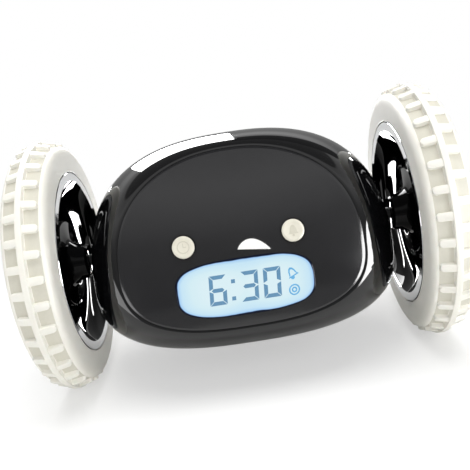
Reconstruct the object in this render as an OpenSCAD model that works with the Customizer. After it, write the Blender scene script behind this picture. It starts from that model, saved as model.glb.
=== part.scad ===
// Runaway alarm clock: an egg-shaped clock body slung between two big driven wheels.
// Origin: on the floor, under the middle of the axle. +X runs along the axle, the display
// looks towards -Y and up, and +Z is up. Millimetres. The body is drawn level with the axle
// at its origin; in_body() lifts it to the axle's height and leans its face back.

/* [Wheels] */
// Radius of a tyre over its middle rib
tyre_r = 43.5; // [42:0.5:52]
// Width of a tyre between its two sidewalls
tyre_w = 14.4; // [12:0.2:20]
// Height of the middle rib over the floor of the tread
tread_h = 2; // [1:0.1:3]
// Width of the middle rib
rib_w = 2; // [1:0.1:4]
// Lugs on each side of the rib
lug_count = 34; // [20:1:44]
// Width of a lug along the tread
lug_w = 2.5; // [1.5:0.1:4]
// How far the lugs fall away from the rib to the shoulder
lug_fall = 1.4; // [0.2:0.1:2]
// Radius of the hub's flange, where the tyre starts
rim_r = 31.7; // [29:0.1:34]
// Width of the flat ring round the hub's dish
rim_land = 3.1; // [1:0.1:5]
// Depth of the hub's dish on the side that faces the body
dish_depth = 6; // [3:0.1:6.5]
// Gap between the body's end and the plane of a wheel
wheel_gap = 3.2; // [2.5:0.1:8]
// Diameter of the axle
axle_d = 4; // [3:0.1:4.4]

/* [Body] */
// Height of the body above the axle
body_top = 36.3; // [34:0.1:40]
// Depth of the body below the axle
body_low = 36.7; // [35:0.1:40]
// Distance from the axle to the body's front rim
body_front = 31; // [29:0.5:36]
// Distance from the axle to the body's back
body_back = 36; // [34:0.5:40]
// How far the body's fullest level lies below the axle
body_waist = 9.8; // [6:0.1:14]
// Wall of the shells
wall = 2.2; // [1.5:0.1:3]
// How far the face leans back from upright
face_tilt = 15; // [0:1:30]
// Room from a gearbox's housing to the body's end
end_room = 14.3; // [13:0.1:18]

/* [Face] */
// Width of the face panel
face_w = 75.4; // [70:0.2:80]
// Height of the face panel's top edge over the axle
face_top = 27.2; // [25:0.1:29]
// Depth of the face panel's bottom edge below the axle
face_low = 27.3; // [26.5:0.1:29]
// How far the face panel's middle stands out from its edge
face_crown = 1.9; // [0.5:0.1:4]
// Width of the display window
window_w = 42.6; // [36:0.2:46]
// Height of the display window
window_h = 17.4; // [14:0.2:18]
// Height of the window's middle, from the axle
window_z = -15; // [-16:0.1:-14]
// Diameter of a button
button_d = 6.86; // [5:0.02:9]
// Distance from the middle of the face to each button
button_x = 16.7; // [13:0.1:22]
// Height of the buttons, from the axle
button_z = -0.7; // [-1.5:0.1:4]
// Travel of a button
button_travel = 0.6; // [0.3:0.1:0.6]
// Length of the pale mark's straight edge
mark_w = 10; // [6:0.1:14]
// Height of the pale mark
mark_h = 3.2; // [2:0.1:5]

/* [Drive] */
// Tooth size of all gears: pitch diameter over number of teeth
gear_module = 0.5; // [0.4:0.01:0.55]
// Teeth of each large gear in the train
gear_teeth = 36; // [24:1:40]
// Teeth of each pinion in the train
pinion_teeth = 12; // [10:1:16]
// Width of a gear
gear_w = 1.8; // [1.2:0.1:2.2]
// Diameter of a gear pin
pin_d = 2; // [1.5:0.1:2.6]
// Diameter of a motor
motor_d = 20; // [16:0.5:22]
// Height of a motor over its two flats
motor_flats = 15.1; // [12:0.1:16]
// Length of a motor
motor_l = 25; // [20:0.5:30]
// Half the gap between the two motors
motor_gap = 1.6; // [1.2:0.1:4]
// Wall of a gearbox
box_wall = 1.6; // [1:0.1:2]

/* [Electrics] */
// Diameter of a battery cell
cell_d = 10.5; // [9:0.1:10.8]
// Length of a battery cell
cell_l = 44.5; // [40:0.5:46]
// Number of battery cells
cell_count = 4; // [2:1:4]
// Angle between neighbouring cells, round the axle
cell_step = 25; // [24:0.5:27]
// Direction of the battery door, below straight back
door_dip = 62.5; // [55:0.5:70]
// Width of the circuit board
board_w = 58; // [54:1:62]
// Height of the circuit board
board_h = 39.5; // [36:0.5:40]
// Thickness of the circuit board
board_t = 1.6; // [1:0.1:2]
// Diameter of the buzzer
buzzer_d = 20; // [14:0.5:24]

/* [Hidden] */

$fn = 64;
far = 200;            // reach of the blocks and holes that only cut
fit = 0.15;           // gap round a part that is set into another
slip = 0.04;          // radial clearance of a turning fit
press = 0.02;         // radial clearance of a pressed fit
play = 0.3;           // gap between parts that move past each other
edge = 0.4;           // small broken edge

cream = "#e6e3d6";
gloss_black = "#141416";
panel_grey = "#35353a";
steel = "#b9bcc0";
brass = "#c8a75a";
nylon = "#eceae2";

// ---------------------------------------------------------------- places along the axle
cover_t = 1.4;
gear_gap = 0.7;                                 // room between gears side by side
cover_in = motor_gap + motor_l;                 // the motor's end seats on the cover
box_in = cover_in + cover_t;
first_x = box_in + gear_gap;                    // inner faces of the gears
second_x = first_x + gear_w + gear_gap;
output_x = second_x + gear_w + gear_gap;
floor_x = output_x + gear_w + gear_gap;         // the gearbox's floor
box_out = floor_x + box_wall;
body_half = box_out + end_room;                 // half the body's width
tube_out = body_half - 1.1;                     // end of the axle's bearing tube
hub_x = body_half + wheel_gap;                  // plane of a wheel's inner face
hub_mid = hub_x + dish_depth;                   // floor of the hub's dish
hub_back = hub_mid + 2.7;                       // seat of the hub screw
wheel_out = hub_x + tyre_w;                     // outer sidewall
axle_in = cover_in + edge;
axle_out = hub_back - 1;

// ---------------------------------------------------------------- tyre and hub
sidewall_r = tyre_r - 6.5;                      // where the sidewall starts to round over
tread_r = tyre_r - tread_h;                     // floor of the tread beside the rib
shoulder_r = tread_r - 0.7;                     // and at the shoulder
shoulder_w = 1.7;
seat_r = rim_r - 1.3;                           // barrel of the hub, which holds the tyre
barrel_r = seat_r - 2;                          // inside of the barrel
flange_w = 1.2;
lip_w = 1.1;                                    // the tyre's lip over the barrel's end
lug_in = 1.9;                                   // from a sidewall to a lug's end
lug_phase = 80;                                 // turn of the first lug from the top
rib_runs = 2 * lug_count;                       // short flats that make up the rib's top
boss_r = 5.4;                                   // the hub's boss, on the body's side
boss_l = 1.9;                                   // how far it stands out of the hub's plane
screw_d = 2.4;

// ---------------------------------------------------------------- outlines of the body
// An egg outline is [half width, height over its widest level, depth under it, that
// level, power of its upper curve, power of its lower curve].
face_level = -6;
face_egg = [face_w / 2, face_top - face_level, face_low + face_level, face_level, 2.2, 2.7];
waist_egg = [body_half, body_top + body_waist, body_low - body_waist, -body_waist, 2.6, 2.75];
window_egg = [window_w / 2, window_h / 2, window_h / 2, window_z, 3.2, 3.2];
rim_lip = 0.6;                                  // flat rim round the face panel
front_power = 1.7;                              // roundness from the face to the waist
back_power = 2.4;                               // roundness from the waist to the back
back_flat = 0.28;                               // size of the back's flat, of the waist's
outer_sides = 64;
inner_sides = 40;
face_sides = 48;
outer_rings = 8;
inner_rings = 6;

// ---------------------------------------------------------------- depths behind the face
rim_y = -body_front;                            // the shells' front rim
panel_y = rim_y - 0.2;                          // front edge of the face panel
recess_y = rim_y + 2;                           // front of the bulkhead behind the panel
bulkhead_y = recess_y + 1.4;                    // back of the bulkhead
lcd_y = bulkhead_y + 0.2;
light_y = lcd_y + 2.2;
board_y = light_y + 3.2;                        // front of the board
board_z = window_z + 9.25;                      // middle of the board
flange_y = rim_y + 0.5;                         // front of a button's flange
flange_t = 0.6;
switch_y = board_y - 3.4;                       // top of a switch's housing
plunger_y = switch_y - 0.7;
stem_y = plunger_y - button_travel - 0.1;       // end of a button's stem
button_y = rim_y - 2.8;                         // front of a button
pocket_y = rim_y + 0.2;                         // ceiling of the pockets in the panel
post_at = [board_w / 2 - 3, board_h / 2 - 3];   // board screws, from the board's middle

// ---------------------------------------------------------------- gear train
// Gears lie in the plane of [y, z], with the axle at its origin.
pressure = 20;
backlash = 0.08;                                // how much each tooth is thinned
addendum = 0.8;
dedendum = 1.25;
centres = gear_module * (gear_teeth + pinion_teeth) / 2;
tip_r = gear_module * (gear_teeth / 2 + addendum);
pinion_tip_r = gear_module * (pinion_teeth / 2 + addendum);
to_second = -120;                               // directions from shaft to shaft
to_first = -10;
to_motor = 75;
function polar(r, a) = [r * cos(a), r * sin(a)];
second_at = polar(centres, to_second);
first_at = second_at + polar(centres, to_first);
motor_at = first_at + polar(centres, to_motor);
ear_r = 2.4;
ear_out = tip_r + play + ear_r;
ears = [polar(ear_out, 120), first_at + polar(ear_out, -10)];
tube_r = 5;
bush_r = axle_d / 2 + 1.1;
bush_l = 5;
shaft_d = 2;
motor_boss_r = 3.1;

// ---------------------------------------------------------------- screws and bosses
case_at = [[20, body_top - 6.8], [body_half - 18.1, 8.7 - body_low]];
case_boss_r = 3;
case_boss_l = 13;
case_seat_y = 10;                               // seat of the screw heads, in the rear shell
pilot_r = 1;
head_r = 2;

// ---------------------------------------------------------------- battery bay
door_turn = -door_dip;
cell_r = cell_d / 2;
cell_ring = body_low - wall - cell_r - 2.75;    // radius of the row of cells, round the axle
cell_turns = [for (i = [0 : cell_count - 1]) door_turn + (i - (cell_count - 1) / 2) * cell_step];
cell_half = cell_l / 2;
row_half = (cell_count - 1) / 2 * cell_step;
tray_in = cell_ring - cell_r - 0.85;
tray_out = cell_ring + 1.5;
tray_end_r = cell_ring + 4.5;
tray_x = cell_half + 0.7;                       // inner face of the tray's end walls
tray_wall = 2.2;
tray_side = 13;                                 // degrees from the last cell to the tray's edge
end_side = 8;
contact_t = 0.4;
seat = 0.1;                                     // depth of a contact's seat in the end wall
contact_w = 7;
door_half_x = tray_x + tray_wall + 4.1;
door_half_t = cell_ring * sin(row_half) + cell_r + 0.6;
door_screw_x = door_half_x - 2;
door_seat_r = body_low - 1.8;                   // seat of the door's screw heads
lug_half = 2;
lug_top = door_seat_r - 3;                      // where the door's bosses stand on the tray
door_screw_r = 0.8;

// ---------------------------------------------------------------- buzzer
buzzer_z = 5;
buzzer_y = body_back - 9.5;
buzzer_t = 4;
sound_pitch = 3.2;

// ================================================================ shapes used throughout
function mix(a, b, t) = a + (b - a) * t;
function mix_egg(a, b, t) = [for (i = [0 : len(a) - 1]) mix(a[i], b[i], t)];
function grow(egg, by) = [egg[0] + by, egg[1] + by, egg[2] + by, egg[3], egg[4], egg[5]];
function shrink(egg, s) = [egg[0] * s, egg[1] * s, egg[2] * s, egg[3], egg[4], egg[5]];

function egg_radius(egg, a) =
    let (up = sin(a) >= 0, p = up ? egg[4] : egg[5], h = up ? egg[1] : egg[2])
    pow(pow(abs(cos(a)) / egg[0], p) + pow(abs(sin(a)) / h, p), -1 / p);
function egg_point(egg, a) = [0, egg[3]] + egg_radius(egg, a) * [cos(a), sin(a)];

// The turns at which an outline has its points: all round, or its lower half.
function turns(n, part) = part == "lower" ? [for (i = [0 : n / 2]) 360 * i / n + 180] :
    [for (i = [0 : n - 1]) 360 * i / n];
function ring(egg, y, size, angles) =
    [for (a = angles) let (p = egg_point(egg, a) * size) [p[0], y, p[1]]];

// Rings of the body's surface, drawn in by inset: from the front rim at front_y to the
// waist, and from the waist to the back.
function front_rings(inset, front_y, lip, angles, count) = [for (k = [0 : count])
    let (turn = 90 * k / count, f = pow(sin(turn), 2 / front_power),
        egg = mix_egg(grow(face_egg, lip), grow(waist_egg, -inset), f))
    ring(egg, front_y * pow(cos(turn), 2 / front_power), 1, angles)];
function back_rings(inset, back_y, angles, count) =
    let (last = acos(pow(back_flat, back_power / 2)))
    [for (k = [1 : count])
    let (turn = last * k / count, s = pow(cos(turn), 2 / back_power))
    ring(grow(waist_egg, -inset), back_y * pow(sin(turn) / sin(last), 2 / back_power), s, angles)];

// Closes a list of rings, front to back, into one solid.
module loft(rings) {
    n = len(rings[0]);
    last = len(rings) - 1;
    sides = [for (k = [0 : last - 1], i = [0 : n - 1])
        let (a = k * n + i, b = k * n + (i + 1) % n) each [[a, b, b + n], [a, b + n, a + n]]];
    front = [for (i = [0 : n - 1]) n - 1 - i];
    back = [for (i = [0 : n - 1]) last * n + i];
    polyhedron([for (r = rings) each r], concat([front, back], sides), convexity = 6);
}

// The outside of the body and the hollow in it. half is "front", "rear" or "both", and
// part names the part of the outline that is drawn.
module body_solid(half = "both", part = "all") {
    angles = turns(outer_sides, part);
    waist = [ring(waist_egg, 0, 1, angles)];
    loft(concat(
        half == "rear" ? waist : front_rings(0, rim_y, rim_lip, angles, outer_rings),
        half == "front" ? [] : back_rings(0, body_back, angles, outer_rings)));
}
module cavity(half = "both", part = "all") {
    angles = turns(inner_sides, part);
    egg = grow(waist_egg, -wall);
    loft(concat(
        half == "rear" ? [ring(egg, -1, 1, angles), ring(egg, 0, 1, angles)]
            : front_rings(wall, bulkhead_y, rim_lip - wall * 0.75, angles, inner_rings),
        half == "front" ? [ring(egg, 1, 1, angles)]
            : back_rings(wall, body_back - wall, angles, inner_rings)));
}

module in_body() translate([0, 0, tyre_r]) rotate([-face_tilt, 0, 0]) children();
module on_axle() translate([0, 0, tyre_r]) children();
module side(left) mirror([left ? 1 : 0, 0, 0]) children();
module both_sides() for (left = [false, true]) side(left) children();

// A flat outline in [x, z], as thick as from y0 to y1.
module plate_y(y0, y1) translate([0, y1, 0]) rotate([90, 0, 0]) linear_extrude(y1 - y0) children();
// A flat outline in [y, z], as thick as from x0 to x1.
module plate_x(x0, x1) translate([x0, 0, 0]) rotate([90, 0, 90]) linear_extrude(x1 - x0) children();
module rod_y(x, z, y0, y1, r) translate([x, y1, z]) rotate([90, 0, 0]) cylinder(h = y1 - y0, r = r);
module rod_x(at, x0, x1, r) translate([x0, at[0], at[1]]) rotate([0, 90, 0]) cylinder(h = x1 - x0, r = r);
// A ring sector round the axle, from turn a0 to a1.
module sector_x(r0, r1, a0, a1, x0, x1) translate([x0, 0, 0]) rotate([90, 0, 90]) rotate([0, 0, a0])
    rotate_extrude(angle = a1 - a0) translate([r0, 0]) square([r1 - r0, x1 - x0]);
// A shape turned round the axle from points [radius, x].
module turned(points) rotate([0, 90, 0]) rotate_extrude($fn = 96) polygon(points);
module rounded(w, h, r) {
    square([w - 2 * r, h], center = true);
    square([w, h - 2 * r], center = true);
    for (x = [-1, 1], y = [-1, 1]) translate([x * (w / 2 - r), y * (h / 2 - r)]) circle(r);
}
// A pan-head screw along +Z with its head's seat at the origin and a cross recess.
module screw(head, shank, length) difference() {
    union() {
        cylinder(h = head * 0.6, r = head);
        translate([0, 0, -length]) cylinder(h = length + 0.1, r = shank);
    }
    for (a = [0, 90]) rotate([0, 0, a]) translate([-head * 0.6, -head * 0.13, head * 0.25])
        cube([head * 1.2, head * 0.26, head]);
}

// ================================================================ body shells
// The battery door's place: a straight block that runs out along the door's direction.
module door_block(gap = 0) rotate([door_turn, 0, 0])
    translate([-door_half_x - gap, cell_ring - 3, -door_half_t - gap])
    cube([2 * (door_half_x + gap), far, 2 * (door_half_t + gap)]);
module at_case_screws() for (s = [-1, 1], at = case_at) translate([s * at[0], 0, at[1]]) children();
module at_board_screws() for (x = [-1, 1], z = [-1, 1])
    translate([x * post_at[0], 0, board_z + z * post_at[1]]) children();

// The two shells part in the plane of the axle and close round the gearboxes' bearing tubes.
module tube_holes() rod_x([0, 0], -far, far, tube_r + fit);

module front_shell() color(gloss_black) in_body() difference() {
    body_solid("front");
    difference() {
        cavity("front");
        at_case_screws() rod_y(0, 0, -case_boss_l, 2, case_boss_r);
        at_board_screws() rod_y(0, 0, rim_y, board_y, 2.2);
    }
    tube_holes();
    plate_y(rim_y - 1, recess_y) polygon([for (a = turns(face_sides, "all"))
        egg_point(grow(face_egg, fit), a)]);
    plate_y(recess_y - 1, bulkhead_y + 1) translate([0, window_z])
        rounded(window_w - 0.6, window_h - 0.4, 1);
    for (s = [-1, 1]) rod_y(s * button_x, button_z, recess_y - 1, bulkhead_y + 1, 2.3);
    at_case_screws() rod_y(0, 0, -case_boss_l + 2, 1, pilot_r);
    at_board_screws() rod_y(0, 0, board_y - 4.6, board_y + 1, pilot_r * 0.8);
    door_block(play);
}

module rear_shell() color(gloss_black) in_body() difference() {
    body_solid("rear");
    difference() {
        cavity("rear");
        at_case_screws() rod_y(0, 0, -2, far, case_boss_r + 0.4);
        difference() {
            rod_y(0, buzzer_z, buzzer_y + 1, far, buzzer_d / 2 + 1.5);
            rod_y(0, buzzer_z, 0, buzzer_y + buzzer_t, buzzer_d / 2 + fit);
            rod_y(0, buzzer_z, 0, far, buzzer_d / 2 - 1.2);
        }
    }
    tube_holes();
    at_case_screws() {
        rod_y(0, 0, -1, far, pilot_r + 0.3);
        rod_y(0, 0, case_seat_y, far, head_r + 0.3);
    }
    rod_y(0, buzzer_z, body_back - 2 * wall, far, 0.8);
    for (ring = [1, 2], i = [0 : 6 * ring - 1])
        rod_y(ring * sound_pitch * cos(60 * i / ring), buzzer_z + ring * sound_pitch * sin(60 * i / ring),
            body_back - 2 * wall, far, 0.8);
    door_block(play);
}

module case_screws() color(steel) in_body() at_case_screws() translate([0, case_seat_y, 0])
    rotate([-90, 0, 0]) screw(head_r, pilot_r - press, case_seat_y + case_boss_l - 4);

// ================================================================ face
// The crowned panel: its front rings lie on a shallow dome, raised by lift.
module face_dome(lift = 0) {
    angles = turns(face_sides, "all");
    loft([for (s = [0.15, 0.4, 0.62, 0.8, 0.93])
            ring(shrink(face_egg, s), panel_y - lift - face_crown * (1 - s * s), 1, angles),
        ring(grow(face_egg, -0.25), panel_y - lift, 1, angles),
        ring(face_egg, panel_y - lift + 0.25, 1, angles),
        ring(face_egg, recess_y, 1, angles)]);
}
module egg_plate(y0, y1, egg) plate_y(y0, y1)
    polygon([for (a = turns(face_sides, "all")) egg_point(egg, a)]);

// The pale half-round mark between the buttons, with its straight edge a little off level.
mark_at = [4.35, -4.5];
mark_turn = -8;
mark_y = panel_y - face_crown - 0.08;
mark_steps = 14;
module mark_outline() translate(mark_at) rotate(mark_turn) polygon([for (i = [0 : mark_steps])
    let (t = i / mark_steps) [mark_w * (t - 0.5), mark_h * pow(sin(180 * pow(t, 0.8)), 0.8)]]);

module face_panel() color(panel_grey) in_body() difference() {
    face_dome();
    egg_plate(-far, 0, window_egg);
    egg_plate(pocket_y, 0, grow(window_egg, 1.25));
    for (s = [-1, 1]) {
        rod_y(s * button_x, button_z, -far, 0, button_d / 2 + play);
        rod_y(s * button_x, button_z, pocket_y, 0, button_d / 2 + 1.3);
    }
    plate_y(-far, mark_y + 0.8) mark_outline();
}
module face_mark() color("#fbfbf8") in_body() plate_y(mark_y, mark_y + 0.8) mark_outline();

module display_lens() color("#c8e8f8") in_body() {
    intersection() {
        face_dome(0.25);
        egg_plate(-far, recess_y - 0.1, grow(window_egg, -0.1));
    }
    egg_plate(pocket_y + 0.05, recess_y - 0.1, grow(window_egg, 1.1));
}

// ================================================================ display and board
module lcd_glass() color("#9fb6a8") in_body() plate_y(lcd_y, light_y) translate([0, window_z])
    square([window_w + 0.8, window_h + 0.8], center = true);
module backlight() color("#e8f4fb") in_body() plate_y(light_y, board_y) translate([0, window_z])
    rounded(window_w - 1.6, window_h - 0.8, 1);

module main_board() color("#1f6b43") in_body() {
    difference() {
        plate_y(board_y, board_y + board_t) translate([0, board_z]) rounded(board_w, board_h, 1.5);
        at_board_screws() rod_y(0, 0, -far, 0, 1);
    }
    translate([-5, board_y + board_t, board_z + 2]) cube([10, 1.2, 10]);
    for (i = [0 : 3]) translate([10 + 4 * i, board_y + board_t, board_z + 4]) cube([2, 0.9, 3.2]);
}
module tact_switches() color("#3a3a3c") in_body() for (s = [-1, 1]) {
    translate([s * button_x - 3, switch_y, button_z - 3]) cube([6, board_y - switch_y, 6]);
    rod_y(s * button_x, button_z, plunger_y, switch_y + 0.1, 1.7);
}
module board_screws() color(steel) in_body() at_board_screws() translate([0, board_y + board_t, 0])
    rotate([-90, 0, 0]) screw(1.8, pilot_r * 0.8 - press, board_t + 4);

// A button: cap, retaining flange and the stem that reaches its switch.
module button() {
    rod_y(0, 0, button_y + edge, flange_y + 0.1, button_d / 2);
    translate([0, button_y + edge, 0]) rotate([90, 0, 0])
        cylinder(h = edge, r1 = button_d / 2, r2 = button_d / 2 - edge);
    rod_y(0, 0, flange_y, flange_y + flange_t, button_d / 2 + 1);
    rod_y(0, 0, flange_y, stem_y, 1.6);
}
module left_button() color(cream) in_body() translate([-button_x, 0, button_z]) button();
module right_button() color(cream) in_body() translate([button_x, 0, button_z]) button();

module buzzer() color("#26262a") in_body() difference() {
    rod_y(0, buzzer_z, buzzer_y, buzzer_y + buzzer_t, buzzer_d / 2);
    rod_y(0, buzzer_z, buzzer_y + buzzer_t - 1, far, 2);
}

// ================================================================ battery bay
module at_cells() for (i = [0 : cell_count - 1]) rotate([cell_turns[i], 0, 0])
    translate([0, cell_ring, 0]) mirror([i % 2, 0, 0]) children();
module at_door_screws() for (s = [-1, 1]) rotate([door_turn, 0, 0])
    translate([s * door_screw_x, 0, 0]) children();

module battery_tray() color("#2a2a2d") in_body() difference() {
    union() {
        sector_x(tray_in, tray_out, cell_turns[0] - tray_side, cell_turns[cell_count - 1] + tray_side,
            -tray_x - tray_wall / 2, tray_x + tray_wall / 2);
        both_sides() sector_x(tray_in + 0.5, tray_end_r, cell_turns[0] - end_side,
            cell_turns[cell_count - 1] + end_side, tray_x, tray_x + tray_wall);
        at_door_screws() translate([-lug_half, cell_ring - 0.6, -lug_half])
            cube([2 * lug_half, lug_top - cell_ring + 0.6, 2 * lug_half]);
        both_sides() rotate([door_turn, 0, 0]) translate([tray_x + 0.5, cell_ring - 0.6, -lug_half])
            cube([door_screw_x - tray_x - 1, 6, 2 * lug_half]);
    }
    at_cells() rod_x([0, 0], -tray_x - seat, tray_x + seat, cell_r + fit);
    at_door_screws() rod_y(0, 0, cell_ring + 1, far, door_screw_r + 0.05);
}
module battery_cells() color("#b7b9bd") in_body() at_cells() {
    rod_x([0, 0], -cell_half, cell_half - 1, cell_r);
    rod_x([0, 0], cell_half - 1.1, cell_half, 1.9);
}
module battery_contacts() color(steel) in_body() both_sides() for (a = cell_turns) rotate([a, 0, 0])
    translate([tray_x - fit - contact_t, cell_ring - contact_w / 2, -contact_w / 2])
        cube([contact_t, contact_w, contact_w]);

module battery_door() color(gloss_black) in_body() difference() {
    union() {
        intersection() {
            difference() {
                body_solid("both", "lower");
                cavity("both", "lower");
            }
            door_block();
        }
        at_door_screws() rod_y(0, 0, lug_top, door_seat_r - 0.2, lug_half - 0.1);
    }
    at_door_screws() {
        rod_y(0, 0, 0, far, door_screw_r + 0.3);
        rod_y(0, 0, door_seat_r, far, 1.9 + fit);
    }
}
module door_screws() color(steel) in_body() at_door_screws() translate([0, door_seat_r, 0])
    rotate([-90, 0, 0]) screw(1.9, door_screw_r, 6.5);

// ================================================================ gear train
// Half the angle that a tooth takes up at radius r, with involute flanks.
function inv(a) = tan(a) * 180 / PI - a;
function tooth_half(teeth, r) =
    let (pitch_r = gear_module * teeth / 2, base_r = pitch_r * cos(pressure))
    90 / teeth - backlash / pitch_r * 90 / PI + inv(pressure)
        - (r > base_r ? inv(acos(base_r / r)) : 0);
function tooth_radii(teeth) =
    let (p = gear_module * teeth / 2, root = p - dedendum * gear_module, tip = p + addendum * gear_module)
    [root, mix(root, p, 0.6), p, mix(p, tip, 0.55), tip];
function gear_points(teeth, turn) = let (radii = tooth_radii(teeth), n = len(radii))
    [for (i = [0 : teeth - 1], k = [0 : 2 * n - 1])
        let (r = k < n ? radii[k] : radii[2 * n - 1 - k], half = tooth_half(teeth, r))
        polar(r, turn + 360 * i / teeth + (k < n ? -half : half))];
// The turn at which gear b, in direction towards from gear a, meshes with gear a.
function meshed(teeth_a, turn_a, teeth_b, towards) =
    towards + 180 - (0.5 - teeth_a * (towards - turn_a) / 360) * 360 / teeth_b;
second_turn = meshed(gear_teeth, 0, pinion_teeth, to_second);
first_turn = meshed(gear_teeth, 0, pinion_teeth, to_first);
motor_turn = meshed(gear_teeth, 0, pinion_teeth, to_motor);

// A gear round [y, z] = at, from x0 to x1.
module gear(at, teeth, turn, x0, x1) plate_x(x0, x1) translate(at) polygon(gear_points(teeth, turn));
// Gear and pinion in one moulding, on a pin, with collars that keep them apart from the walls.
module compound_gear(at, x, turn, reach) color(nylon) difference() {
    union() {
        gear(at, gear_teeth, 0, x, x + gear_w);
        gear(at, pinion_teeth, turn, x + gear_w - 0.1, reach);
        rod_x(at, box_in + play, floor_x - play, pin_d / 2 + 0.9);
    }
    rod_x(at, 0, far, pin_d / 2 + slip);
}
module first_gear() compound_gear(first_at, first_x, first_turn, second_x + gear_w + 0.2);
module second_gear() compound_gear(second_at, second_x, second_turn, output_x + gear_w + 0.2);
module output_gear() color(nylon) difference() {
    union() {
        gear([0, 0], gear_teeth, 0, output_x, output_x + gear_w);
        rod_x([0, 0], output_x, floor_x - play, axle_d / 2 + 1.4);
    }
    rod_x([0, 0], 0, far, axle_d / 2 + press);
}
module motor_pinion() color(brass) difference() {
    gear(motor_at, pinion_teeth, motor_turn, box_in + play, first_x + gear_w + 0.3);
    rod_x(motor_at, 0, far, shaft_d / 2 + press);
}
module motor_shaft() color(steel) rod_x(motor_at, cover_in - 9, first_x + gear_w + 0.6, shaft_d / 2);

module gearbox_outline(by) {
    for (at = [[0, 0], first_at, second_at]) translate(at) circle(tip_r + play + by);
    translate(motor_at) circle(pinion_tip_r + 1 + by);
    polygon([[0, 0], second_at, first_at, motor_at]);
}
module ear_outline() for (at = ears) translate(at) circle(ear_r);
module gearbox() color("#3b3d42") difference() {
    union() {
        plate_x(box_in, box_out) {
            gearbox_outline(box_wall);
            ear_outline();
        }
        rod_x([0, 0], box_out - 0.1, tube_out, tube_r);
    }
    plate_x(box_in - 1, floor_x) gearbox_outline(0);
    rod_x([0, 0], 0, far, axle_d / 2 + 2 * fit);
    rod_x([0, 0], tube_out - bush_l, far, bush_r + press);
    for (at = [first_at, second_at]) rod_x(at, 0, floor_x + 1, pin_d / 2 + press);
    for (at = ears) rod_x(at, 0, box_in + 5.5, pilot_r * 0.8);
}
module gearbox_cover() color("#3b3d42") difference() {
    plate_x(cover_in, box_in) {
        gearbox_outline(box_wall);
        ear_outline();
    }
    rod_x([0, 0], 0, far, bush_r + press);
    rod_x(motor_at, 0, far, motor_boss_r + press);
    for (at = [first_at, second_at]) rod_x(at, cover_in + 0.2, far, pin_d / 2 + press);
    for (at = ears) rod_x(at, 0, far, pilot_r);
}
module gearbox_screws() color(steel) in_body() both_sides() for (at = ears)
    translate([cover_in, at[0], at[1]]) rotate([0, -90, 0]) screw(1.8, pilot_r * 0.8 - press, 6.2);
module gear_pins() color(steel) in_body() both_sides() for (at = [first_at, second_at])
    rod_x(at, cover_in + 0.3, floor_x + 0.9, pin_d / 2);
module axle_bushes() color(brass) in_body() both_sides() difference() {
    union() {
        rod_x([0, 0], cover_in, box_in, bush_r);
        rod_x([0, 0], tube_out - bush_l, tube_out, bush_r);
    }
    rod_x([0, 0], 0, far, axle_d / 2 + slip);
}

module motor_outline(by) intersection() {
    circle(motor_d / 2 + by);
    square([motor_d * 2, motor_flats + 2 * by], center = true);
}
end_cap_l = 2.6;
module motor() color(steel) difference() {
    union() {
        plate_x(motor_gap + end_cap_l, cover_in) translate(motor_at) motor_outline(0);
        rod_x(motor_at, cover_in - 1, box_in - 0.1, motor_boss_r);
    }
    rod_x(motor_at, cover_in - 9.2, far, shaft_d / 2 + slip);
}
module motor_end_caps() color(nylon) in_body() both_sides() {
    plate_x(motor_gap, motor_gap + end_cap_l) translate(motor_at) motor_outline(-0.3);
    for (s = [-1, 1]) translate([motor_gap - 0.9, motor_at[0] + s * 5 - 0.8, motor_at[1] - 0.2])
        cube([1, 1.6, 0.5]);
}

module left_gearbox() in_body() side(true) gearbox();
module right_gearbox() in_body() side(false) gearbox();
module left_gearbox_cover() in_body() side(true) gearbox_cover();
module right_gearbox_cover() in_body() side(false) gearbox_cover();
module left_motor() in_body() side(true) motor();
module right_motor() in_body() side(false) motor();
module left_motor_shaft() in_body() side(true) motor_shaft();
module right_motor_shaft() in_body() side(false) motor_shaft();
module left_motor_pinion() in_body() side(true) motor_pinion();
module right_motor_pinion() in_body() side(false) motor_pinion();
module left_first_gear() in_body() side(true) first_gear();
module right_first_gear() in_body() side(false) first_gear();
module left_second_gear() in_body() side(true) second_gear();
module right_second_gear() in_body() side(false) second_gear();
module left_output_gear() in_body() side(true) output_gear();
module right_output_gear() in_body() side(false) output_gear();

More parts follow.
